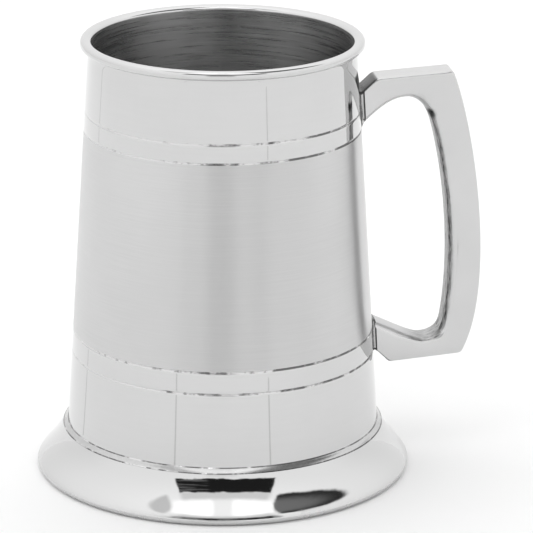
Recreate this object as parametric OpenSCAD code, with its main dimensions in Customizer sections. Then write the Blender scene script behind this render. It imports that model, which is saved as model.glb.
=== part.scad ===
// Lidless pint tankard: a tapered drum on a spreading foot, with one squared handle.
// Millimetres. The drum's axis is Z, the table is z = 0 and the handle stands along +X.

/* [Barrel] */
// Height of the tankard, from the table to the top of the lip
total_h = 124.9; // [123:0.1:127]
// Outside radius of the drum just under the lip
barrel_top_r = 37.3; // [36.8:0.1:37.8]
// How much the drum's radius grows for each millimetre down
taper = 0.0618; // [0.058:0.0002:0.066]
// Thickness of the drum's sheet
wall = 1.0; // [0.8:0.1:1.4]
// Lower edge of the drum, hidden inside the foot
barrel_foot_z = 5.9; // [5.5:0.1:6.3]

/* [Lip] */
// Radius of the round bead rolled along the lip
bead_r = 1.35; // [1.2:0.05:1.6]
// Height of the hollow curve under the bead
bead_cove_h = 2.2; // [1.6:0.1:3]

/* [Turned lines] */
// Heights of the four lines turned round the drum
line_z = [34.7, 40.8, 99.1, 104.4]; // [20:0.1:115]
// Width of each turned line
line_w = 0.5; // [0.3:0.05:0.8]
// Depth of each turned line
line_d = 0.25; // [0.1:0.05:0.4]

/* [Bottom] */
// Height of the drinking floor at the wall
floor_z = 8.7; // [8.5:0.1:9.9]
// How far the floor dips in the middle
floor_dish = 0.6; // [0:0.1:1]
// Thickness of the floor's sheet
floor_t = 1.2; // [1:0.1:1.3]
// Depth of the flange turned down against the wall, below the floor
flange_h = 1.0; // [0.8:0.1:1.1]
// Width of the flat margin round the dished floor
floor_margin = 6; // [2:0.5:12]

/* [Foot] */
// Widest radius of the foot
foot_r = 53; // [52:0.5:54]
// Radius of the roll at the foot's lowest edge
foot_roll_r = 1.6; // [1.3:0.1:2]
// Height of the foot's collar, where the solder starts
collar_z = 12.5; // [12.1:0.1:13.1]
// Radius of the collar's top edge
collar_r = 45.6; // [45.4:0.05:45.8]
// Lower end of the fit between the collar and the drum
collar_low_z = 8.4; // [7.9:0.1:9.4]
// Inner radius of the flat ring that the tankard stands on
stand_r = 48.5; // [47.5:0.1:49.5]
// Thickness of the foot's skirt
skirt_t = 1.5; // [1.2:0.1:1.7]

/* [Handle] */
// Width of the handle's bar, across the plane of its outline
handle_w = 8.8; // [8:0.1:10]

/* [Solder] */
// How far the handle's solder spreads over each of the two pieces that it joins
fillet = 1.1; // [0.8:0.1:1.3]
// How far the foot's solder climbs the drum, above the collar
foot_fillet = 1.5; // [1.2:0.1:1.8]

/* [Hidden] */
$fn = 180;
// Points along each curve
STEPS = 14;
// How far round the bead, in degrees from its lowest point, the hollow curve under it ends
COVE_END = 15;

bead_z = total_h - bead_r;
bead_ring_r = barrel_top_r + 1;
foot_solder_top_z = collar_z + foot_fillet;
flange_z = floor_z - floor_t - flange_h;

// The drum's outside and inside radius at a height
function r_out(z) = barrel_top_r + taper * (bead_z - z);
function r_in(z) = r_out(z) - wall;

// A cubic curve's point at t, and the run of points from its start up to its end, which it leaves out
function cubic(p, t) =
    pow(1 - t, 3) * p[0] + 3 * pow(1 - t, 2) * t * p[1]
    + 3 * (1 - t) * t * t * p[2] + pow(t, 3) * p[3];
function curve(p) = [for (i = [0 : STEPS - 1]) cubic(p, i / STEPS)];
// Points of an arc about centre c, from angle a0 to a1
function arc(c, r, a0, a1, n) =
    [for (i = [0 : n]) let (a = a0 + (a1 - a0) * i / n) [c[0] + r * cos(a), c[1] + r * sin(a)]];

// ---- Drum -------------------------------------------------------------------

// One turned line's three points on the drum's outside, seen in section
function line_cut(z) = [
    [r_out(z - line_w / 2), z - line_w / 2],
    [r_out(z) - line_d, z],
    [r_out(z + line_w / 2), z + line_w / 2]
];

module barrel_section() {
    cove_z = bead_z - bead_r - bead_cove_h;
    neck = [bead_ring_r - bead_r * sin(COVE_END), bead_z - bead_r * cos(COVE_END)];
    cove = [
        [r_out(cove_z), cove_z], [r_out(cove_z), cove_z + bead_cove_h / 2],
        [neck[0] - bead_r / 4, neck[1] - bead_r / 8], neck
    ];
    lines = [for (z = line_z) each line_cut(z)];
    // The inside of the wall rounds over into the bead in a quarter of an ellipse
    round_over_w = bead_ring_r - r_in(bead_z);
    round_over = [
        for (i = [0 : STEPS]) let (a = 90 - 90 * i / STEPS)
            [bead_ring_r - round_over_w * cos(a), bead_z + bead_r * sin(a)]
    ];
    polygon(concat(
        [[r_in(barrel_foot_z), barrel_foot_z], [r_out(barrel_foot_z), barrel_foot_z]],
        lines,
        curve(cove),
        [neck],
        round_over
    ));
    translate([bead_ring_r, bead_z]) circle(bead_r, $fn = 48);
}

module barrel() {
    color("gainsboro") rotate_extrude() barrel_section();
}

// ---- Let-in bottom ------------------------------------------------------------

module bottom_disc() {
    corner_z = floor_z - floor_t;
    color("darkgray") rotate_extrude() polygon([
        [0, corner_z - floor_dish], [r_in(corner_z) - floor_margin, corner_z],
        [r_in(corner_z) - floor_t, corner_z], [r_in(flange_z) - floor_t, flange_z],
        [r_in(flange_z), flange_z], [r_in(floor_z), floor_z],
        [r_in(floor_z) - floor_margin, floor_z], [0, floor_z - floor_dish]
    ]);
}

// ---- Foot -----------------------------------------------------------------------

// The skirt's S-shaped outside, from the collar down to the widest ring
SKIRT_OUT = [
    [collar_r, collar_z], [collar_r + 2.4, collar_z - 6.0],
    [foot_r - 0.5, foot_roll_r + 1.7], [foot_r, foot_roll_r]
];
// The same line on the inside of the sheet
SKIRT_IN = [
    [foot_r - skirt_t, foot_roll_r + 0.2], [foot_r - skirt_t - 0.8, foot_roll_r + 1.7],
    [r_out(collar_low_z) + 2.6, collar_low_z - 2.2], [r_out(collar_low_z) + 1.4, collar_low_z]
];

module foot() {
    roll = arc([foot_r - foot_roll_r, foot_roll_r], foot_roll_r, 0, -90, 8);
    color("silver") rotate_extrude() polygon(concat(
        [[r_out(collar_z), collar_z]],
        curve(SKIRT_OUT),
        roll,
        [[stand_r, 0], [stand_r, skirt_t], [foot_r - skirt_t - 0.3, skirt_t]],
        curve(SKIRT_IN),
        [SKIRT_IN[3], [r_out(collar_low_z), collar_low_z]]
    ));
}

// ---- Handle -----------------------------------------------------------------------

// Outline in the X-Z plane: over the top, down the bow, back along the foot, then up the finger hole
BOW = [[65.3, 112.15], [71.4, 95.6], [78.3, 50.5], [68.9, 31.45]];
HOLE_LOW_ARM = [[41.0, 42.1], [48.2, 39.0], [54.3, 35.5], [56.6, 35.5]];
HOLE_LOW_CORNER = [[56.6, 35.5], [60.4, 35.5], [62.5, 37.4], [62.95, 40.4]];
HOLE_LIMB = [[62.95, 40.4], [65.65, 57.2], [64.25, 80.3], [59.1, 98.9]];
HOLE_TOP_CORNER = [[59.1, 98.9], [58.0, 102.6], [55.2, 106.5], [51.8, 106.5]];
HOLE_TOP_ARM = [[51.8, 106.5], [46.6, 106.5], [42.7, 102.2], [38.0, 98.0]];

module handle_outline() {
    polygon(concat(
        [[35.6, 95.4], [35.6, 105.8], [42.0, 111.65]],
        curve([[42.0, 111.65], [42.5, 112.1], [43.0, 112.42], [43.8, 112.5]]),
        [[43.8, 112.5]],
        curve([[64.0, 113.75], [64.7, 113.75], [65.0, 113.05], [65.3, 112.15]]),
        curve(BOW),
        curve([[68.9, 31.45], [68.6, 30.75], [68.1, 30.4], [67.4, 30.35]]),
        [[67.4, 30.35]],
        curve([[48.2, 28.75], [47.7, 28.7], [47.3, 28.8], [46.9, 29.2]]),
        [[46.9, 29.2], [39.6, 36.3]],
        curve(HOLE_LOW_ARM),
        curve(HOLE_LOW_CORNER),
        curve(HOLE_LIMB),
        curve(HOLE_TOP_CORNER),
        curve(HOLE_TOP_ARM),
        [HOLE_TOP_ARM[3]]
    ));
}

// The space that the drum fills, cut out of whatever is fitted against it
module drum_space() {
    rotate_extrude() polygon([
        [0, 0], [r_out(0), 0], [r_out(total_h), total_h], [0, total_h]
    ]);
}

module handle() {
    color("whitesmoke") difference() {
        rotate([90, 0, 0]) linear_extrude(handle_w, center = true) handle_outline();
        drum_space();
    }
}

// ---- Solder -------------------------------------------------------------------------

// A fillet round one end of the handle: side_view is its outline in the X-Z plane, and in plan
// it slopes from the drum out to the handle's sides
module handle_solder(side_view, z0, z1) {
    face_x = r_out((z0 + z1) / 2);
    half = handle_w / 2;
    difference() {
        intersection() {
            rotate([90, 0, 0]) linear_extrude(handle_w + 4 * fillet, center = true)
                polygon(side_view);
            translate([0, 0, z0]) linear_extrude(z1 - z0) polygon([
                [face_x - 2, -half - fillet - 1], [face_x - 0.7, -half - fillet],
                [face_x + fillet, -half], [face_x + fillet, half],
                [face_x - 0.7, half + fillet], [face_x - 2, half + fillet + 1]
            ]);
        }
        drum_space();
        rotate([90, 0, 0]) linear_extrude(handle_w, center = true) handle_outline();
    }
}

module upper_handle_solder() {
    color("dimgray") handle_solder([
        [36, 97.6], [38.9, 97.6], [39.7, 99.4], [39.6, 109.5], [38.1, 110.1], [36, 110.1]
    ], 97.3, 110.6);
}

module lower_handle_solder() {
    color("dimgray") handle_solder([
        [40, 31.7], [43.0, 31.7], [44.0, 32.1], [44.0, 40.8], [43.5, 41.1], [42.4, 42.6], [40, 42.6]
    ], 31.4, 43);
}

module foot_solder() {
    color("gray") rotate_extrude() polygon([
        [r_out(collar_z), collar_z], [collar_r, collar_z],
        [r_out(foot_solder_top_z), foot_solder_top_z]
    ]);
}

module bottom_solder() {
    color("gray") rotate_extrude() polygon([
        [r_in(barrel_foot_z), barrel_foot_z], [r_in(flange_z), flange_z],
        [r_in(flange_z) - floor_t, flange_z]
    ]);
}

barrel();
bottom_disc();
foot();
handle();
upper_handle_solder();
lower_handle_solder();
foot_solder();
bottom_solder();
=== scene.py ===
# %% [markdown]
# # A pewter pint tankard
#
# This lesson rebuilds a lidless pewter tankard around its packed design. The real one is made by
# two trades. A metal spinner makes the drum, its floor and its foot on a lathe, and a caster pours
# the handle in a mould. A bench hand then solders the four pieces together and polishes them.
# Each cell makes one of those pieces as its maker would, then gives it a finish.

# %% Load the design
import bpy
import math
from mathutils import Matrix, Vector


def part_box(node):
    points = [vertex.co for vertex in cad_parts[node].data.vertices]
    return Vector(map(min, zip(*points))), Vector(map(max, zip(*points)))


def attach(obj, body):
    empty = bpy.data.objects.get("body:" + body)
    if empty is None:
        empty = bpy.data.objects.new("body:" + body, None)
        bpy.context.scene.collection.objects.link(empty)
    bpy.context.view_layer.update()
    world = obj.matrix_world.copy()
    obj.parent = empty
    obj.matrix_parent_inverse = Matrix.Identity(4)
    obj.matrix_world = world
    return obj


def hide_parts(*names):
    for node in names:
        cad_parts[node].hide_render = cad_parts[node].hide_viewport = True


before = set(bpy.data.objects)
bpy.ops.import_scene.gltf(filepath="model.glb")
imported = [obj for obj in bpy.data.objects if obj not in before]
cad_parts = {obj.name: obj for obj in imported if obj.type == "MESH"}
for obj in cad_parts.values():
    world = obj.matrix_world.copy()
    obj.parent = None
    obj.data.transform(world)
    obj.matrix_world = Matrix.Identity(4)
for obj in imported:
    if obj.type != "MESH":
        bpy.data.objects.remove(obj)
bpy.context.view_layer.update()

# %% [markdown]
# ## Units and driving sizes
#
# Blender works in metres and a pewterer in millimetres, so lengths are written in millimetres and
# multiplied by `MM`. The big sizes are read from the design's own pieces. The rest, such as how
# deep a turned line is, are a maker's choices, and they are named here.

# %% Sizes
MM = 0.001
# How far a visible face stays inside the design's own face, in millimetres
CLEAR = 0.01

lip_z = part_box("barrel")[1].z / MM
drum_low_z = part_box("barrel")[0].z / MM
foot_r = min(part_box("foot")[1].y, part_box("foot")[1].x) / MM - 2 * CLEAR
bar_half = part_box("handle")[1].y / MM

BEAD_R = 1.35
BEAD_RING_R = 38.3
TAPER = 0.0618
WALL = 1.0
bead_z = lip_z - BEAD_R


def drum_r(z):
    """The drum's outside radius at a height, in millimetres."""
    return BEAD_RING_R - 1 + TAPER * (bead_z - z)


print(f"lip at {lip_z:.1f} mm, foot {2 * foot_r:.1f} mm across, handle bar {2 * bar_half:.1f} mm wide")

# %% [markdown]
# ## Camera
#
# The tankard is seen from in front and a little above, through a long lens from about a metre
# away, so the sides of the drum stay almost straight. The lens could also be shifted to place the
# pot left of centre. Turning the camera a fraction does the same and keeps other views centred, so
# the camera aims at a point just right of the drum and below its middle.

# %% Camera
CAMERA_AZIMUTH = math.radians(-8)
CAMERA_ELEVATION = math.radians(17.35)
CAMERA_DISTANCE = 1.0415
CAMERA_ROLL = math.radians(0.2)
LOOK_Z = 63.1 * MM
AIM_RIGHT = 12.37 * MM
AIM_DOWN = 4.84 * MM

to_camera = Vector((
    math.sin(CAMERA_AZIMUTH) * math.cos(CAMERA_ELEVATION),
    -math.cos(CAMERA_AZIMUTH) * math.cos(CAMERA_ELEVATION),
    math.sin(CAMERA_ELEVATION),
))
right = Vector((0, 0, 1)).cross(to_camera).normalized()
up = to_camera.cross(right)
look_at = Vector((0, 0, LOOK_Z))
eye = look_at + to_camera * CAMERA_DISTANCE
aim = look_at + right * AIM_RIGHT - up * AIM_DOWN

bpy.ops.object.camera_add(location=eye)
camera = bpy.context.object
camera.name = "camera"
camera.rotation_mode = "QUATERNION"
camera.rotation_quaternion = (aim - eye).to_track_quat("-Z", "Y")
camera.rotation_mode = "XYZ"
camera.rotation_euler.rotate_axis("Z", CAMERA_ROLL)
camera.data.lens = 249.2
camera.data.sensor_width = 36
camera.data.clip_end = 20
bpy.context.scene.camera = camera
bpy.context.scene.view_settings.view_transform = "Standard"
print("camera at", [round(c, 3) for c in eye])

# %% [markdown]
# ## Node maths that reads like maths
#
# A finish is a small sum: so much roughness, more where the brush went. Blender writes sums as
# chains of Math nodes, which are slow to read. `Sock` wraps one output socket and turns + - * /
# into those nodes. `Paint` adds every other node with one method.


# %% Node helpers
class Sock:
    """One output socket, used in sums as if it were a number."""

    def __init__(self, paint, socket):
        self.paint = paint
        self.socket = socket

    def maths(self, operation, *values):
        return self.paint.add("ShaderNodeMath", {"operation": operation}, *values)

    def __add__(self, other):
        return self.maths("ADD", self, other)

    def __sub__(self, other):
        return self.maths("SUBTRACT", self, other)

    def __rsub__(self, other):
        return self.maths("SUBTRACT", other, self)

    def __mul__(self, other):
        return self.maths("MULTIPLY", self, other)

    def __truediv__(self, other):
        return self.maths("DIVIDE", self, other)

    __radd__ = __add__
    __rmul__ = __mul__


class Paint:
    """A node tree that is filled by calls: add() makes any node from its type, settings and inputs."""

    def __init__(self, owner):
        owner.use_nodes = True
        self.tree = owner.node_tree
        self.tree.nodes.clear()

    def add(self, kind, settings=None, *values, output=0, **named):
        node = self.tree.nodes.new(kind)
        for key, value in (settings or {}).items():
            if key == "stops":
                while len(node.color_ramp.elements) < len(value):
                    node.color_ramp.elements.new(1.0)
                for stop, (position, grey) in zip(node.color_ramp.elements, value):
                    stop.position = position
                    stop.color = (grey, grey, grey, 1)
            else:
                setattr(node, key, value)
        for place, value in [*enumerate(values), *named.items()]:
            socket = node.inputs[place.replace("_", " ") if isinstance(place, str) else place]
            if isinstance(value, Sock):
                self.tree.links.new(value.socket, socket)
            else:
                socket.default_value = value
        return Sock(self, node.outputs[output]) if node.outputs else node

    def step(self, value, low, high):
        """0 below low and 1 above high, with a smooth rise between."""
        settings = {"interpolation_type": "SMOOTHSTEP"}
        return self.add("ShaderNodeMapRange", settings, value, low, high, 0.0, 1.0)

    def band(self, value, low, high, soft):
        """1 between low and high, fading to 0 over soft on each side."""
        return self.step(value, low - soft, low + soft) * (1 - self.step(value, high - soft, high + soft))

    def place(self):
        """Object coordinates, in millimetres."""
        place = self.add("ShaderNodeTexCoord", None, output=3)
        return self.add("ShaderNodeVectorMath", {"operation": "SCALE"}, place, Scale=1 / MM)

    def stretch(self, place, scale):
        """The same coordinates, with each axis multiplied."""
        return self.add("ShaderNodeVectorMath", {"operation": "MULTIPLY"}, place, scale)

    def along_axis(self, place, axis):
        """How far a point lies along one axis."""
        return self.add("ShaderNodeVectorMath", {"operation": "DOT_PRODUCT"}, place, axis, output=1)

    def noise(self, place, scale, detail=2.0, rough=0.5):
        return self.add("ShaderNodeTexNoise", None, Vector=place, Scale=scale, Detail=detail, Roughness=rough)

    def attribute(self, name):
        """A number that is written on the piece's corners."""
        return self.add("ShaderNodeAttribute", {"attribute_name": name}, output=2)

    def grey(self, tone):
        """A neutral colour, as light as tone."""
        return self.add("ShaderNodeCombineColor", None, tone, tone, tone)

    def bump(self, depth_mm, relief):
        """A relief of this depth in millimetres, for a surface's Normal."""
        return self.add("ShaderNodeBump", None, Strength=1.0, Distance=depth_mm * MM, Height=relief)

    def surface(self, colour, roughness, metallic=1.0, **more):
        """Ends a material in one surface, which is metal unless metallic is 0."""
        shader = self.add(
            "ShaderNodeBsdfPrincipled", None,
            Base_Color=colour, Metallic=metallic, Roughness=roughness, **more,
        )
        self.add("ShaderNodeOutputMaterial", None, Surface=shader)


# %% [markdown]
# ## Finishes
#
# Pewter is nearly white, a little darker than silver, and it holds a soft polish. Five finishes
# share one recipe: mirror polish on the lip and bands; a satin belt brushed round the drum; a
# rougher brushing inside the cup, whose darker tone is painted shade of the hollow; dressed solder,
# which is greyer; and a near-black finish, painted shade where the handle's ends meet the drum.
# Each could have its own node tree, but only the numbers differ: a metal surface, a noise
# stretched along the brush for roughness and bump, and a broad, faint noise for tone. `turned`
# spreads the highlight up the drum, as the fine rings of a lathe do.


# %% Pewter recipe
QUARTER_TURN = 0.25


def pewter(name, tone, rough, brush, brush_rough, bump_mm, turned=0.0, spread=0.04, tone_spread=0.02):
    """A pewter finish. brush is how fine the brushing is along X, Y and Z, in lines a millimetre."""
    material = bpy.data.materials.new(name)
    paint = Paint(material)
    place = paint.place()
    lines = paint.noise(paint.stretch(place, brush), 1.0, detail=4.0, rough=0.65)
    cloud = paint.noise(place, spread, detail=3.0)
    grey = paint.step(cloud + (lines - 0.5) * 0.5, 0.25, 0.75) * tone_spread + (tone - tone_spread / 2)
    roughness = (lines - 0.5) * brush_rough + (cloud - 0.5) * brush_rough * 0.5 + rough
    paint.surface(
        paint.grey(grey), roughness,
        Normal=paint.bump(bump_mm, lines), Anisotropic=turned, Anisotropic_Rotation=QUARTER_TURN,
    )
    return material


polished = pewter("polished_pewter", 0.62, 0.04, (0.05, 0.05, 1.2), 0.03, 0.0004)
satin = pewter(
    "satin_pewter", 0.665, 0.38, (0.06, 0.06, 2.4), 0.14, 0.008, turned=1.0, spread=0.02, tone_spread=0.07
)
# The inside's tone, 0.42 against 0.62 outside, is painted shade: the cup's hollow is darkened in its colour.
inside = pewter(
    "inside_pewter", 0.42, 0.28, (0.05, 0.05, 1.8), 0.20, 0.022, turned=1.0, spread=0.03, tone_spread=0.34
)
solder_grey = pewter("dressed_solder", 0.50, 0.20, (0.8, 0.8, 0.8), 0.12, 0.01, tone_spread=0.10)
# A near-black finish that is painted shade, for the crevices where the handle's ends meet the drum.
handle_joint_shade = pewter("painted_handle_joint_shade", 0.07, 0.30, (0.8, 0.8, 0.8), 0.20, 0.01, tone_spread=0.08)
print("finishes:", [m.name for m in bpy.data.materials])

# %% [markdown]
# Three finishes need a mask of their own. Polishing compound stays in a turned line in dark
# dashes, and most of it stays near the handle, where the wheel can't reach. Along solder the same
# dark dashes are part compound and part painted shade, for the crevice where solder meets the
# metal. The handle is polished all over except inside its finger hole, where a narrow belt left long
# grinding marks. Those marks follow a bend, which straight coordinates can't do, so they are drawn
# along a distance that is written on the handle's corners. The foot is polished but for its lowest
# edge, which tables scuff.


# %% Masked finishes
PEWTER_TONE = 0.62


def stain_and_shade(name, reach, pull):
    """Polished pewter with dark dashes of old compound; along solder they also paint the shade of the
    crevice. A larger reach darkens more, and pull gathers the dashes near the handle."""
    material = bpy.data.materials.new(name)
    paint = Paint(material)
    place = paint.place()
    towards_handle = paint.along_axis(place, (1, 0, 0))
    dashes = paint.noise(place, 0.16, detail=4.0, rough=0.7) + towards_handle * pull
    darkening = paint.step(dashes, 0.56 - reach, 0.74 - reach)
    paint.surface(paint.grey(PEWTER_TONE - darkening * 0.48), darkening * 0.25 + 0.05)
    return material


def cast_pewter(name):
    """The handle: polished, but ground lengthwise, softened and darkened where its attributes say so; the
    darkening is painted shade and a pit.
    """
    material = bpy.data.materials.new(name)
    paint = Paint(material)
    place = paint.place()
    ground, soft, dull, along_mm = (paint.attribute(n) for n in ("ground", "soft", "dull", "along_mm"))
    across = paint.along_axis(place, (0, 1, 0))
    track = paint.add("ShaderNodeCombineXYZ", None, along_mm * 0.22, across * 2.0, 0.0)
    marks = paint.noise(track, 1.0, detail=4.0, rough=0.7)
    waves = paint.noise(place, 0.10, detail=2.0)
    grey = 0.60 + (waves - 0.5) * 0.05 - ground * (0.28 - (marks - 0.5) * 1.9)
    # This darkening is painted shade on the upper arm's slanted top against the drum, and a pit high on the
    # limb's inner face.
    grey = grey * (1 - dull * (0.90 - (marks - 0.5) * 0.6))
    roughness = 0.06 + (waves - 0.5) * 0.03 + soft * 0.36 + ground * ((marks - 0.5) * 0.6 - 0.08)
    relief = waves * 0.03 + ground * marks
    paint.surface(paint.grey(grey), roughness, Normal=paint.bump(0.10, relief))
    return material


def scuffed_pewter(name, low, high):
    """The foot: polished, but its lowest edge is scuffed dull by tables, up to about the two heights."""
    material = bpy.data.materials.new(name)
    paint = Paint(material)
    place = paint.place()
    rise_mm = paint.along_axis(place, (0, 0, 1))
    wear = paint.noise(place, 0.12, detail=3.0, rough=0.6)
    cloud = paint.noise(place, 0.04, detail=2.0)
    scuff = (1 - paint.step(rise_mm + wear * 1.5, low, high)) * paint.step(wear, 0.30, 0.62)
    roughness = 0.045 + (cloud - 0.5) * 0.02 + scuff * 0.26
    paint.surface((PEWTER_TONE, PEWTER_TONE, PEWTER_TONE, 1), roughness, Normal=paint.bump(0.02, wear))
    return material


scuffed = scuffed_pewter("foot_pewter_scuffed", 2.4, 4.4)
turned_line_stain = stain_and_shade("stained_line", 0.12, 0.0030)
# Along solder the dark dashes are part compound and part painted shade of the crevice.
joint_stain_and_shade = stain_and_shade("stained_and_shaded_joint", 0.20, 0.0006)
cast = cast_pewter("cast_pewter")
print("masked finishes:", [m.name for m in (scuffed, turned_line_stain, joint_stain_and_shade, cast)])

# %% [markdown]
# ## Turning a shape
#
# Everything round here is turned. Blender's Spin tool can sweep a profile round an axis. Drawing
# the wall upwards from a circle gives the same surface and follows how a spinner raises a wall:
# each step extrudes the open edge and scales it to the next radius. The loops stay even rings, and
# both ends are easy to close. A profile is a list of (radius, height) in millimetres.

# %% Turning helpers
SIDES = 288


def cubic(p0, p1, p2, p3, steps, last=False):
    """Points of a cubic curve, from p0 up to p3, which is given only with last=True."""
    points = []
    for i in range(steps + (1 if last else 0)):
        t = i / steps
        s = 1 - t
        weights = (s * s * s, 3 * s * s * t, 3 * s * t * t, t * t * t)
        points.append(tuple(sum(w * p[k] for w, p in zip(weights, (p0, p1, p2, p3))) for k in (0, 1)))
    return points


def arc(centre, radius, start, end, steps):
    """Points of an arc in section, with its angles in degrees, both ends given."""
    angles = [math.radians(start + (end - start) * i / steps) for i in range(steps + 1)]
    return [(centre[0] + radius * math.cos(a), centre[1] + radius * math.sin(a)) for a in angles]


def turn(name, profile, closed):
    """Raises a turned shell from a circle. A closed profile comes back to its own start."""
    bpy.ops.object.select_all(action="DESELECT")
    (r0, z0), rest = profile[0], profile[1:] + (profile[:1] if closed else [])
    bpy.ops.mesh.primitive_circle_add(
        vertices=SIDES, radius=r0 * MM, location=(0, 0, z0 * MM), fill_type="NOTHING"
    )
    piece = bpy.context.object
    piece.name = name
    bpy.ops.object.transform_apply(location=True)
    bpy.ops.object.mode_set(mode="EDIT")
    bpy.ops.mesh.select_all(action="SELECT")
    last_r, last_z = r0, z0
    for r, z in rest:
        if r <= 0:
            bpy.ops.mesh.extrude_edges_move(TRANSFORM_OT_translate={"value": (0, 0, (z - last_z) * MM)})
            bpy.ops.mesh.merge(type="CENTER")
            break
        bpy.ops.mesh.extrude_edges_move(TRANSFORM_OT_translate={"value": (0, 0, (z - last_z) * MM)})
        bpy.ops.transform.resize(value=(r / last_r, r / last_r, 1), center_override=(0, 0, z * MM))
        last_r, last_z = r, z
    bpy.ops.mesh.select_all(action="SELECT")
    bpy.ops.mesh.remove_doubles(threshold=0.002 * MM)
    bpy.ops.mesh.normals_make_consistent(inside=False)
    bpy.ops.object.mode_set(mode="OBJECT")
    return piece


def smooth(piece, degrees):
    """Smooth shading that keeps edges sharper than this many degrees."""
    bpy.ops.object.select_all(action="DESELECT")
    piece.select_set(True)
    bpy.context.view_layer.objects.active = piece
    bpy.ops.object.shade_smooth_by_angle(angle=math.radians(degrees))


def hand_over(piece, node):
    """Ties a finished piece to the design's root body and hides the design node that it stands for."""
    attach(piece, "root")
    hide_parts(node)
    print(f"{piece.name}: {len(piece.data.polygons)} faces")


# %% [markdown]
# ## The drum
#
# The drum is a tapered tube of 1 mm sheet. Its lip is rolled outwards into a round bead, and four
# fine lines are turned into it: two under the lip and two above the foot. A Solidify modifier
# could give an open cone its thickness, but it would also thicken the bead, so the profile goes up
# the outside, round the bead and down the inside. Each line is a shallow round-bottomed groove
# with soft shoulders, because a sharp V would show as a hard black ring.

# %% Drum
LINES_Z = (34.7, 40.8, 99.1, 104.4)
LINE_HALF = 0.38
LINE_DEPTH = 0.17
COVE_H = 2.2
# Where the hollow curve under the bead meets it, counted from the bead's outermost point
NECK_DEGREES = -105


def turned_line(z):
    """The outside of the drum across one turned line, from below."""
    shape = ((-1.6, 0.0), (-1.1, 0.02), (-0.85, 0.16), (-0.20, 0.82), (0.0, 0.92))
    shape += tuple((-a, d) for a, d in reversed(shape[:-1]))
    return [(drum_r(z + a * LINE_HALF) - d * LINE_DEPTH, z + a * LINE_HALF) for a, d in shape]


cove_z = bead_z - BEAD_R - COVE_H
neck_angle = math.radians(NECK_DEGREES)
neck = (BEAD_RING_R + BEAD_R * math.cos(neck_angle), bead_z + BEAD_R * math.sin(neck_angle))
round_over_w = BEAD_RING_R - drum_r(bead_z) + WALL

outside = [(drum_r(drum_low_z + 2 * CLEAR), drum_low_z + 2 * CLEAR)]
for line_z in LINES_Z:
    outside += turned_line(line_z)
outside += cubic(
    (drum_r(cove_z), cove_z), (drum_r(cove_z), cove_z + COVE_H / 2),
    (neck[0] - BEAD_R / 4, neck[1] - BEAD_R / 8), neck, 8,
)
outside += arc((BEAD_RING_R, bead_z), BEAD_R - CLEAR, NECK_DEGREES, 90, 24)
round_over = arc((0, bead_z), BEAD_R - CLEAR, 90, 180, 16)[1:]
outside += [(BEAD_RING_R + x * round_over_w / BEAD_R, z) for x, z in round_over]
wall_heights = (bead_z - 0.4, 120, 100, 70, 40, 12, drum_low_z + 2 * CLEAR)
inner_wall = [(drum_r(z) - WALL, z) for z in wall_heights]
barrel = turn("drum", outside + inner_wall, closed=True)
smooth(barrel, 50)


def paint_faces(piece, materials, choose):
    """Gives each face one of the materials: choose(centre, normal) says which, by its place."""
    for material in materials:
        piece.data.materials.append(material)
    for face in piece.data.polygons:
        face.material_index = choose(face.center / MM, face.normal)


def drum_finish(centre, normal):
    """Which of the drum's four materials a face has: polished, satin, inside or stained line."""
    radial = Vector((centre.x, centre.y, 0)).normalized()
    if normal.dot(radial) < 0 and centre.z < bead_z + 0.2:
        return 2
    if min(abs(centre.z - line_z) for line_z in LINES_Z) < LINE_HALF * 0.62:
        return 3
    return 1 if LINES_Z[1] < centre.z < LINES_Z[2] else 0


paint_faces(barrel, (polished, satin, inside, turned_line_stain), drum_finish)
hand_over(barrel, "barrel")

# %% [markdown]
# ## The floor of the cup
#
# The floor is a shallow dish let into the drum from below, with a flange turned down against the
# wall. It is turned like the drum: from the flange's lower edge, over the rounded corner, in to
# the middle, where the last ring is merged to a point. Its underside is the same line lower down,
# and a bridge joins the two along the flange's lower edge. A known fault: the bridge pairs corners
# that don't face each other, so its faces cross under the floor and the underside faces inwards. It
# shows only from below. One closed profile, as the drum has, would avoid it.

# %% Floor
FLOOR_Z = 8.7
FLOOR_T = 1.2
FLOOR_DISH = 0.6
FLANGE_LOW_Z = 6.5
CORNER_R = 0.8
UNDER_CORNER_R = 0.6
DISH_R = 37
MARGIN_R = 39

wall_r = drum_r(FLOOR_Z) - WALL - CLEAR
dish_radii = (DISH_R, 32, 26, 20, 14, 8, 3)
dish_top = [(r, FLOOR_Z - 2 * CLEAR - FLOOR_DISH * (1 - (r / DISH_R) ** 2)) for r in dish_radii]
dish_under = [(r, z - FLOOR_T) for r, z in dish_top]
floor_top = [(drum_r(FLANGE_LOW_Z) - WALL - CLEAR, FLANGE_LOW_Z)]
floor_top += arc((wall_r - CORNER_R, FLOOR_Z - CORNER_R - CLEAR), CORNER_R, 0, 90, 6)
floor_top += [(MARGIN_R, FLOOR_Z - CLEAR)] + dish_top + [(0, dish_top[-1][1])]
under_r = wall_r - FLOOR_T
under_z = FLOOR_Z - FLOOR_T
floor_under = [(under_r + 0.05, FLANGE_LOW_Z), (under_r, under_z - UNDER_CORNER_R)]
floor_under += arc((under_r - UNDER_CORNER_R, under_z - UNDER_CORNER_R), UNDER_CORNER_R, 0, 90, 5)[1:]
floor_under += [(MARGIN_R, under_z - CLEAR)] + dish_under + [(0, dish_under[-1][1])]


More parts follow.
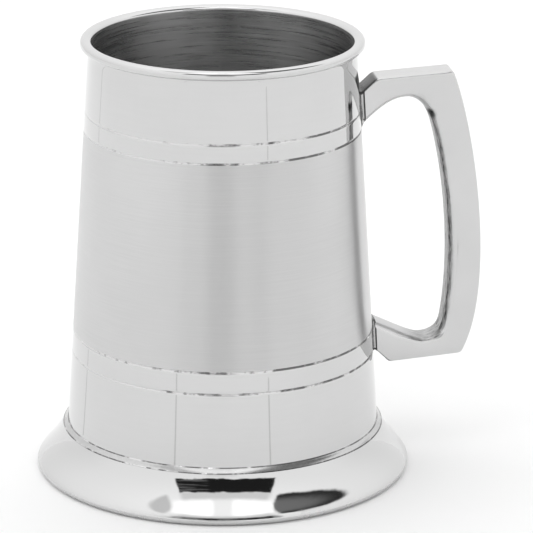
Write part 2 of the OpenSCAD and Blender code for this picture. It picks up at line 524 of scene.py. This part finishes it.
def close_between(name, upper, lower):
    """Two turned lines, joined by a bridge between the rings that they start from."""
    first = turn(name, upper, closed=False)
    second = turn(name + "_under", lower, closed=False)
    bpy.ops.object.select_all(action="DESELECT")
    first.select_set(True)
    second.select_set(True)
    bpy.context.view_layer.objects.active = first
    bpy.ops.object.join()
    bpy.ops.object.mode_set(mode="EDIT")
    bpy.ops.mesh.select_all(action="DESELECT")
    bpy.ops.mesh.select_mode(type="EDGE")
    bpy.ops.mesh.select_non_manifold(extend=False)
    bpy.ops.mesh.bridge_edge_loops()
    bpy.ops.mesh.select_all(action="SELECT")
    bpy.ops.mesh.normals_make_consistent(inside=False)
    bpy.ops.object.mode_set(mode="OBJECT")
    return first


floor_disc = close_between("cup_floor", floor_top, floor_under)
smooth(floor_disc, 40)
# The floor takes the inside's finish, whose darker tone is painted shade.
floor_disc.data.materials.append(inside)
hand_over(floor_disc, "bottom_disc")

# %% [markdown]
# ## The foot
#
# The foot is spun in an S-curve from a collar that grips the drum to a round edge turned under at
# the table. The curve is one cubic, which keeps its reflection clean: a mirror finish shows every
# corner in a profile. Inside it is hollow, as the sheet follows the same line one and a half
# millimetres in.

# %% Foot
COLLAR_Z = 12.5
COLLAR_R = 45.6
COLLAR_LOW_Z = 8.4
ROLL_R = 1.6
STAND_R = 48.5
SKIRT_T = 1.5

skirt = cubic(
    (COLLAR_R, COLLAR_Z - 2 * CLEAR), (COLLAR_R + 2.4, COLLAR_Z - 6.0),
    (foot_r - 0.5, ROLL_R + 1.7), (foot_r, ROLL_R), 40,
)
roll = arc((foot_r - ROLL_R, ROLL_R), ROLL_R, 0, -90, 12)
hem = [(STAND_R + 0.4, 0.0), (STAND_R + 0.12, 0.12), (STAND_R, 0.4), (STAND_R, SKIRT_T - 0.3)]
hem += [(STAND_R + 0.3, SKIRT_T), (foot_r - SKIRT_T - 0.3, SKIRT_T)]
collar_low_r = drum_r(COLLAR_LOW_Z)
hollow = cubic(
    (foot_r - SKIRT_T, ROLL_R + 0.2), (foot_r - SKIRT_T - 0.8, ROLL_R + 1.7),
    (collar_low_r + 2.6, COLLAR_LOW_Z - 2.2), (collar_low_r + 1.4, COLLAR_LOW_Z), 14, last=True,
)
collar = [(collar_low_r + 2 * CLEAR, COLLAR_LOW_Z), (drum_r(COLLAR_Z) + 2 * CLEAR, COLLAR_Z - CLEAR)]
collar += [(COLLAR_R - 0.06, COLLAR_Z - CLEAR)]
foot = turn("foot", skirt + roll + hem + hollow + collar, closed=True)
smooth(foot, 40)
foot.data.materials.append(scuffed)
hand_over(foot, "foot")

# %% [markdown]
# ## Solder round the drum
#
# Solder runs into a corner and freezes as a hollow fillet, which is then scraped and polished. The
# foot's fillet shows as a bright ledge with a fine dark line each side, part stain and part painted
# shade of the crevice where solder meets metal. The floor's is underneath. Both are turned from a
# small three-cornered section whose open side is a shallow curve.


# %% Ring solder
# How wide the dark edge of a solder run is, in millimetres: stain and painted shade of the crevice.
EDGE_STAIN_AND_SHADE = 0.28
SOLDER_CLIMB = 1.48


def solder_finish(piece, end_a, end_b):
    """Darkens the two edges of a run, with stain and painted shade of the crevice, and leaves its face plain
    solder.
    """
    def near_an_edge(centre, normal):
        spot = (math.hypot(centre.x, centre.y), centre.z)
        return 1 if min(math.dist(spot, end_a), math.dist(spot, end_b)) < EDGE_STAIN_AND_SHADE else 0
    paint_faces(piece, (solder_grey, joint_stain_and_shade), near_an_edge)


def ring_solder(name, node, corner, end_a, end_b, sag):
    """A fillet in a corner, from end_a to end_b, with its face drawn in by sag."""
    middle = ((end_a[0] + end_b[0]) / 2, (end_a[1] + end_b[1]) / 2)
    reach = math.dist(middle, corner)
    pull = tuple(m + (c - m) * sag / reach for m, c in zip(middle, corner))
    face = cubic(end_a, pull, pull, end_b, 16, last=True)
    piece = turn(name, [corner] + face, closed=True)
    smooth(piece, 40)
    solder_finish(piece, end_a, end_b)
    hand_over(piece, node)


climb_z = COLLAR_Z + SOLDER_CLIMB
ring_solder(
    "foot_solder_run", "foot_solder",
    (drum_r(COLLAR_Z) + 2 * CLEAR, COLLAR_Z + CLEAR),
    (COLLAR_R - 5 * CLEAR, COLLAR_Z + CLEAR),
    (drum_r(climb_z) + CLEAR, climb_z), 0.10,
)
low_end_z = drum_low_z + 4 * CLEAR
ring_solder(
    "floor_solder_run", "bottom_solder",
    (drum_r(FLANGE_LOW_Z) - WALL - 2 * CLEAR, FLANGE_LOW_Z - CLEAR),
    (drum_r(low_end_z) - WALL - 2 * CLEAR, low_end_z),
    (drum_r(FLANGE_LOW_Z) - WALL - 1.15, FLANGE_LOW_Z - CLEAR), 0.05,
)

# %% [markdown]
# ## The handle
#
# The handle is one casting: a squared bar that leaves the drum at a slant, turns level, drops in a
# long bow and comes back. It could be cut from a flat outline and bevelled, but its corners are
# tighter than its edge rounding, and a bevel there folds over itself. So the bar is drawn out like
# clay: a rounded rectangle is extruded from station to station, and at each one it is moved,
# turned and scaled so that its outer and inner sides land on two given outlines.

# %% Handle outlines
upper_out = [(37.4, 107.45), (42.0, 111.65)]
upper_bend = cubic((42.0, 111.65), (42.5, 112.1), (43.0, 112.42), (43.8, 112.5), 4)
top_line = [(43.8, 112.5), (64.0, 113.75)]
top_corner = cubic((64.0, 113.75), (64.7, 113.75), (65.0, 113.05), (65.3, 112.15), 6)
bow = cubic((65.3, 112.15), (71.4, 95.6), (78.3, 50.5), (68.9, 31.45), 40)
low_corner = cubic((68.9, 31.45), (68.6, 30.75), (68.1, 30.4), (67.4, 30.35), 6)
low_line = [(67.4, 30.35), (48.2, 28.75)]
lower_bend = cubic((48.2, 28.75), (47.7, 28.7), (47.3, 28.8), (46.9, 29.2), 4)
lower_out = [(46.9, 29.2), (42.0, 33.97)]

finger_hole = cubic((38.0, 98.0), (42.7, 102.2), (46.6, 106.5), (51.8, 106.5), 60)
finger_hole += cubic((51.8, 106.5), (55.2, 106.5), (58.0, 102.6), (59.1, 98.9), 60)
finger_hole += cubic((59.1, 98.9), (64.25, 80.3), (65.65, 57.2), (62.95, 40.4), 200)
finger_hole += cubic((62.95, 40.4), (62.5, 37.4), (60.4, 35.5), (56.6, 35.5), 60)
finger_hole += cubic((56.6, 35.5), (54.3, 35.5), (48.2, 39.0), (41.0, 42.1), 60, last=True)


def along(line, count):
    """count points at even spacing along a line of points, leaving out its last point."""
    lengths = [math.dist(a, b) for a, b in zip(line, line[1:])]
    total = sum(lengths)
    points = []
    for i in range(count):
        left = total * i / count
        k = 0
        while left > lengths[k]:
            left -= lengths[k]
            k += 1
        t = left / lengths[k]
        points.append(tuple(a + (b - a) * t for a, b in zip(line[k], line[k + 1])))
    return points


def cut(line, start, end):
    """The stretch of a line between its points nearest start and end."""
    first = min(range(len(line)), key=lambda i: math.dist(line[i], start))
    second = min(range(len(line)), key=lambda i: math.dist(line[i], end))
    return line[first:second + 1]


# Each outer stretch, its number of stations and where on the finger hole it ends
STRETCHES = (
    (upper_out, 10, (44.2, 103.6)),
    (upper_bend + [(43.8, 112.5)], 4, (46.0, 105.0)),
    (top_line, 14, (56.3, 103.8)),
    (top_corner + [(65.3, 112.15)], 6, (58.3, 101.1)),
    (bow + [(68.9, 31.45)], 60, (62.4, 38.5)),
    (low_corner + [(67.4, 30.35)], 6, (61.4, 36.9)),
    (low_line, 16, (49.6, 38.1)),
    (lower_bend + [(46.9, 29.2)], 4, (48.4, 38.7)),
    (lower_out, 10, (41.0, 42.1)),
)
stations = []
hole_from = (38.0, 98.0)
for outer_line, count, hole_to in STRETCHES:
    inner_line = cut(finger_hole, hole_from, hole_to)
    stations += list(zip(along(outer_line, count), along(inner_line, count)))
    hole_from = hole_to
stations.append((lower_out[-1], finger_hole[-1]))
print(f"handle: {len(stations)} stations")

# %% [markdown]
# The section starts as a plane. Its corners are bevelled as points: a little on the outer side,
# which keeps its crisp cast edge, and much more on the finger side, which hand polishing wears
# round. `draw_bar` then does the drawing-out. It also makes the handle's solder, which leaves the
# drum along the bar for its first millimetre, a little larger.

# %% Drawing the bar
OUTER_ROUND = 0.7
INNER_ROUND = 2.4
ROUND_STEPS = 7


def middle_of(station):
    """The middle of the bar at a station, in metres."""
    (xo, zo), (xi, zi) = station
    return Vector(((xo + xi) / 2, 0, (zo + zi) / 2)) * MM


def lean_of(station):
    """The angle of the line from a station's inner point to its outer one."""
    (xo, zo), (xi, zi) = station
    return math.atan2(zo - zi, xo - xi)


def select_corners(piece, side):
    """Selects the two corners of the starting section on its outer (+1) or inner (-1) side."""
    bpy.ops.object.mode_set(mode="EDIT")
    bpy.ops.mesh.select_mode(type="VERT")
    bpy.ops.mesh.select_all(action="DESELECT")
    bpy.ops.object.mode_set(mode="OBJECT")
    for vertex in piece.data.vertices:
        vertex.select = vertex.co.x * side > 0 and abs(abs(vertex.co.y) - bar_half * MM) < 1e-6
    bpy.ops.object.mode_set(mode="EDIT")


def draw_bar(name, line, grow):
    """Draws a rounded bar through the stations; grow(i) is how much larger it is all round, in mm."""
    bpy.ops.object.select_all(action="DESELECT")
    bpy.ops.mesh.primitive_plane_add(size=1)
    piece = bpy.context.object
    piece.name = name
    height = math.dist(*line[0]) * MM
    bpy.ops.object.mode_set(mode="EDIT")
    bpy.ops.transform.resize(value=(height, 2 * bar_half * MM, 1))
    for side, radius in ((1, OUTER_ROUND), (-1, INNER_ROUND)):
        select_corners(piece, side)
        bpy.ops.mesh.bevel(affect="VERTICES", offset=radius * MM, segments=ROUND_STEPS, profile=0.5)
    bpy.ops.mesh.select_mode(type="FACE")
    bpy.ops.mesh.select_all(action="SELECT")
    middle = middle_of(line[0])
    lean = lean_of(line[0])
    bpy.ops.transform.translate(value=middle)
    bpy.ops.transform.rotate(value=lean, orient_axis="Y", center_override=middle)
    size = (height, 2 * bar_half * MM)
    for i, station in enumerate(line):
        new_middle = middle_of(station)
        new_lean = lean_of(station)
        new_size = (math.dist(*station) * MM + 2 * grow(i) * MM, 2 * (bar_half + grow(i)) * MM)
        if i:
            bpy.ops.mesh.extrude_region_move(TRANSFORM_OT_translate={"value": new_middle - middle})
            bpy.ops.transform.rotate(value=new_lean - lean, orient_axis="Y", center_override=new_middle)
        c, s = math.cos(new_lean), math.sin(new_lean)
        bpy.ops.transform.resize(
            value=(new_size[0] / size[0], new_size[1] / size[1], 1),
            orient_type="GLOBAL", orient_matrix_type="GLOBAL",
            orient_matrix=((c, 0, s), (0, 1, 0), (-s, 0, c)), center_override=new_middle,
        )
        middle, lean, size = new_middle, new_lean, new_size
    bpy.ops.mesh.select_all(action="SELECT")
    bpy.ops.mesh.normals_make_consistent(inside=False)
    bpy.ops.object.mode_set(mode="OBJECT")
    return piece


def fit_to_drum(piece):
    """Cuts away what lies inside the drum, so the piece ends in a saddle that fits it."""
    bpy.ops.object.select_all(action="DESELECT")
    low, high = 20.0, 120.0
    bpy.ops.mesh.primitive_cone_add(
        vertices=SIDES * 2, radius1=drum_r(low) * MM, radius2=drum_r(high) * MM,
        depth=(high - low) * MM, location=(0, 0, (low + high) / 2 * MM),
    )
    cutter = bpy.context.object
    bpy.ops.object.transform_apply(location=True)
    modifier = piece.modifiers.new("saddle", "BOOLEAN")
    modifier.operation = "DIFFERENCE"
    modifier.solver = "EXACT"
    modifier.object = cutter
    bpy.context.view_layer.objects.active = piece
    bpy.ops.object.modifier_apply(modifier="saddle")
    bpy.data.objects.remove(cutter, do_unlink=True)


handle = draw_bar("handle_bar", stations, lambda i: 0.0)
fit_to_drum(handle)
smooth(handle, 35)
print("handle bar:", len(handle.data.vertices), "corners")

# %% [markdown]
# ## Where the handle is worn, and where shade is painted on it
#
# The handle's finish changes from place to place. Wear could be painted on by hand, but rules on
# where a corner lies and which way it faces are easier to repeat. Four numbers are worked out for
# each corner and kept as attributes: how far along the bar it lies, how ground it is, how much
# painted shade and pitting darken it, and how softly polished it is. The heights and places below
# are in millimetres.

# %% Worn places
middles = [middle_of(station) for station in stations]
reaches = [0.0]
for a, b in zip(middles, middles[1:]):
    reaches.append(reaches[-1] + (b - a).length)


def nearest_station(spot):
    """Which station's middle is nearest to a point, in metres."""
    flat = Vector((spot.x, 0, spot.z))
    return min(range(len(middles)), key=lambda i: (flat - middles[i]).length)


def distance_along(spot):
    """How far along the bar a point lies, in metres, from its nearest stretch."""
    flat = Vector((spot.x, 0, spot.z))
    k = nearest_station(spot)
    a, b = (k - 1, k) if k else (0, 1)
    way = middles[b] - middles[a]
    return reaches[a] + (flat - middles[a]).dot(way) / way.length


def rise(value, low, high):
    """0 below low, 1 above high, and a smooth rise between."""
    t = max(0.0, min(1.0, (value - low) / (high - low)))
    return t * t * (3 - 2 * t)


def ground_amount(spot, normal):
    """The long limb's inner face is ground, and the marks run out round the hole's lower corner."""
    facing = rise(-normal.x, 0.35, 0.8) * rise(spot.x, 55.5, 58.5) * rise(70 - spot.x, 0, 3)
    upper_end = rise(104.4 - spot.z, 0.0, 3.0)
    corner = rise(spot.x, 50.0, 57.0) * rise(normal.z, 0.2, 0.6) * rise(42.9 - spot.z, 0.0, 4.0) * 0.75
    return max(facing * upper_end, corner * rise(spot.z, 31.9, 34.9))


def shade_and_pit_amount(spot, normal):
    """Painted shade on the upper arm's slanted top, tight against the drum, and a pit high on the limb's
    inner face.
    """
    slant = rise(-normal.x, 0.25, 0.5) * rise(normal.z, 0.3, 0.6)
    slant = slant * rise(spot.z, 104.0, 105.0) * rise(46.0 - spot.x, 0.0, 2.0)
    pit = rise(2.0 - math.dist((spot.x, spot.z), (58.3, 101.5)), 0.0, 1.2) * rise(-normal.x, 0.2, 0.5)
    return max(slant, pit)


def soft_amount(spot, normal):
    """Rounded edges and narrow faces are polished by hand, so they are softer than the flat sides."""
    k = nearest_station(spot * MM)
    (xo, zo), (xi, zi) = stations[k]
    towards_hole = (spot.x - (xo + xi) / 2) * (xi - xo) + (spot.z - (zo + zi) / 2) * (zi - zo) > 0
    return rise(1 - abs(normal.y), 0.0, 0.25) * (1.0 if towards_hole else 0.5)


AMOUNTS = {
    "along_mm": lambda spot, normal: distance_along(spot * MM) / MM,
    "ground": ground_amount,
    "dull": shade_and_pit_amount,
    "soft": soft_amount,
}
for name, amount in AMOUNTS.items():
    values = handle.data.attributes.new(name, "FLOAT", "POINT")
    for i, vertex in enumerate(handle.data.vertices):
        values.data[i].value = amount(vertex.co / MM, vertex.normal)
print("handle attributes:", list(AMOUNTS))
handle.data.materials.append(cast)
hand_over(handle, "handle")

# %% [markdown]
# ## Solder at the handle
#
# Each end of the handle stands in a collar of solder. It is the bar's own section, made larger
# against the drum and fading to nothing a millimetre out, in a hollow curve. A true collar would be
# hollow. This one is a whole slice that passes through the bar, whose faces hide the overlap.

# %% Handle solder
SOLDER_REACH = 1.1
SOLDER_START = -0.6
SOLDER_STEPS = 7


def solder_way(i):
    """How far one station is from the drum along the bar, in millimetres; the first is inside it."""
    return SOLDER_START + (SOLDER_REACH - SOLDER_START) * i / SOLDER_STEPS


def solder_line(outer, inner, outer_way, inner_way):
    """Stations from just inside the drum to the solder's end, along the two sides of the bar."""
    line = []
    for i in range(SOLDER_STEPS + 1):
        t = solder_way(i)
        line.append((
            (outer[0] + outer_way[0] * t, outer[1] + outer_way[1] * t),
            (inner[0] + inner_way[0] * t, inner[1] + inner_way[1] * t),
        ))
    return line


def collar_grow(i):
    """How far the solder stands out from the bar at one station, in millimetres."""
    share = max(0.0, min(1.0, 1 - solder_way(i) / SOLDER_REACH))
    return 0.04 + 0.9 * (1 - math.sqrt(1 - share * share * 0.98))


def handle_solder_finish(piece, dark_above, dark_below):
    """Paints shade, a near-black finish, on both edges of a run and over its whole width above and below the
    two heights.
    """
    reach = [math.hypot(v.co.x, v.co.y) / MM - drum_r(v.co.z / MM) for v in piece.data.vertices]
    far = max(reach)

    def darkening(centre, normal):
        """1, the painted shade, on both edges and both ends of the run, and 0, the solder, on the rest."""
        out = math.hypot(centre.x, centre.y) - drum_r(centre.z)
        edge = out < 0.22 or out > far - 0.45
        return 1 if edge or centre.z > dark_above or centre.z < dark_below else 0
    paint_faces(piece, (solder_grey, handle_joint_shade), darkening)


# Name, node, where the bar's outer and inner sides meet the drum, the ways they leave it, and the
# heights past which the whole run is dark
HANDLE_JOINTS = (
    (
        "upper_solder", "upper_handle_solder",
        ((38.26, 108.24), (38.85, 98.76)), ((1, 0.91), (1, 0.89)), (107.8, 99.5),
    ),
    (
        "lower_solder", "lower_handle_solder",
        ((42.86, 33.13), (42.42, 41.49)), ((1, -0.97), (1, -0.43)), (40.7, 34.2),
    ),
)
for name, node, (outer, inner), (outer_way, inner_way), (dark_above, dark_below) in HANDLE_JOINTS:
    run = draw_bar(name, solder_line(outer, inner, outer_way, inner_way), collar_grow)
    fit_to_drum(run)
    smooth(run, 40)
    handle_solder_finish(run, dark_above, dark_below)
    hand_over(run, node)

# %% [markdown]
# ## Studio
#
# A polished pot is a picture of the room, so the room is part of its look. It stands on a pale
# table in a white tent. The tent has an opening at the front, above where the camera looks in, and
# two lamps over it. Cards and lamps could be modelled as planes. Painting them into the sky is
# lighter and gives less noise, and each patch is placed by compass and height as seen from the pot.
# The compass counts degrees to the right of the camera, and the height degrees above the table.

# %% Sky directions
world = bpy.data.worlds.new("tent")
bpy.context.scene.world = world
sky = Paint(world)
way = sky.add("ShaderNodeTexCoord", None, output=0)
parts = sky.tree.nodes.new("ShaderNodeSeparateXYZ")
sky.tree.links.new(way.socket, parts.inputs[0])
x, y, z = (Sock(sky, s) for s in parts.outputs)
ahead = x * math.sin(CAMERA_AZIMUTH) - y * math.cos(CAMERA_AZIMUTH)
aside = x * math.cos(CAMERA_AZIMUTH) + y * math.sin(CAMERA_AZIMUTH)
compass = sky.add("ShaderNodeMath", {"operation": "ARCTAN2"}, aside, ahead) * math.degrees(1)
height = sky.add("ShaderNodeMath", {"operation": "ARCSINE"}, z) * math.degrees(1)

print("sky: compass and height are ready")

# %% [markdown]
# Each patch is a band of compass times a band of height, 1 inside and 0 outside. A noise makes some
# edges ragged, as cloth is. The last lines darken or brighten the tent by each patch in turn.

# %% Sky patches
FRONT = (-35.0, 39.0)

tent = sky.step(height, 20.0, 90.0) * 0.30 + 1.0
ragged = sky.add("ShaderNodeTexNoise", None, Vector=way, Scale=7.0, Detail=3.0) - 0.5
streaks = sky.add("ShaderNodeVectorMath", {"operation": "MULTIPLY"}, way, (3.0, 3.0, 40.0))
streaks = sky.add("ShaderNodeTexNoise", None, Vector=streaks, Scale=1.0, Detail=3.0)
opening = sky.band(compass + ragged * 2.0, *FRONT, 1.0) * sky.band(height + ragged * 7.0, 29.0, 46.8, 1.0)
opening_left = sky.band(compass, -40.0, -11.0, 2.0) * sky.step(streaks, 0.45, 0.7)
onlooker = sky.band(compass, -12.0, 10.0, 3.0) * sky.band(height, -15.0, 24.0, 4.0)
header = sky.band(compass, *FRONT, 3.0) * sky.band(height, 46.5, 54.5, 2.5)
turn_away = sky.add("ShaderNodeMath", {"operation": "ABSOLUTE"}, compass)
lamps = sky.band(turn_away, 9.0, 44.0, 3.0) * sky.band(height, 54.5, 80.0, 2.5)
sides = sky.step(turn_away, 70.0, 110.0) * (1 - sky.step(height, 4.0, 30.0))
flag_low = 48.5 - (compass - 45.0) * 0.20
flag = sky.band(compass, 45.0, 105.0, 1.5) * sky.step(height + ragged * 3.0 - flag_low, -1.2, 1.2)
left_low = 48.5 - (compass + 45.0) * 0.22
left_flag = sky.band(compass, -80.0, -46.0, 2.0) * sky.step(height - left_low, -1.5, 1.5)
light = (tent + lamps * 0.35) * (1.17 - sides * 0.14)
light = light * (1 - opening * (0.985 - opening_left * 0.12)) * (1 - onlooker * 0.42)
flag_depth = 0.97 - sky.step(height - flag_low, 1.5, 7.0) * 0.14
light = light * (1 - header * 0.28) * (1 - flag * flag_depth) * (1 - left_flag * 0.38)
glow = sky.add("ShaderNodeBackground", None, sky.grey(light))
sky.add("ShaderNodeOutputWorld", None, Surface=glow)
print("sky:", len(sky.tree.nodes), "nodes")

# %% [markdown]
# ## Table
#
# The table is a wide, pale, matt disc. A square would do, but its corners could show in the curved
# metal. It lies a tenth of a millimetre under the foot, so that no two faces share one place.


# %% Table
def matt(name, scale, wander, tone):
    """A matt grey whose tone wanders a little from place to place."""
    material = bpy.data.materials.new(name)
    paint = Paint(material)
    paint.surface(paint.grey(paint.noise(paint.place(), scale) * wander + tone), 0.9, metallic=0.0)
    return material


TABLE_R = 3.0
TABLE_DROP = 0.1 * MM

bpy.ops.object.select_all(action="DESELECT")
bpy.ops.mesh.primitive_circle_add(
    vertices=96, radius=TABLE_R, fill_type="NGON", location=(0, 0, -TABLE_DROP)
)
table = bpy.context.object
table.name = "table"
table.data.materials.append(matt("pale_table", 0.02, 0.01, 0.985))
print("table:", 2 * TABLE_R, "m across")

# %% [markdown]
# The polished bands mirror a few faint upright lines, where joins in the table's covering lie. They
# could be painted on the drum, but they would then stay put when the pot is turned. So four thin
# grey strips lie on the table. Each leads away from the drum and widens as it goes, which keeps its
# reflection even. They are hidden from the camera and show only as reflections, so the table itself
# looks plain.

# %% Seams
SEAM_HALF_ANGLE = 0.0065
SEAM_HALF_W = 0.4 * MM
SEAM_Z = 0.1 * MM
SEAM_FROM_Z = 60
# Name, degrees to the right of the camera, and the strip's near and far end in metres
SEAMS = (
    ("seam_right_near", 34.3, 0.05, 0.183),
    ("seam_right_far", 37.0, 0.55, 0.75),
    ("seam_left", -34.5, 0.05, 0.20),
    ("seam_back", -123.5, 0.05, 1.40),
)
tape = matt("seam_tape", 0.01, 0.1, 0.66)
for name, degrees, near, far in SEAMS:
    bearing = CAMERA_AZIMUTH + math.radians(degrees)
    facing = CAMERA_AZIMUTH + math.radians(degrees / 2)
    start = Vector((math.sin(facing), -math.cos(facing), 0)) * drum_r(SEAM_FROM_Z) * MM
    along_seam = Vector((math.sin(bearing), -math.cos(bearing), 0))
    across = Vector((along_seam.y, -along_seam.x, 0))
    bpy.ops.object.select_all(action="DESELECT")
    bpy.ops.mesh.primitive_plane_add(size=1)
    seam = bpy.context.object
    seam.name = name
    seam.data.materials.append(tape)
    for vertex in seam.data.vertices:
        reach = near if vertex.co.y < 0 else far
        half = SEAM_HALF_W + reach * SEAM_HALF_ANGLE
        spot = start + along_seam * reach + across * half * (1 if vertex.co.x > 0 else -1)
        vertex.co = (spot.x, spot.y, SEAM_Z)
    seam.visible_camera = False
    seam.visible_diffuse = False
    seam.visible_shadow = False
print("seams:", [seam_row[0] for seam_row in SEAMS])
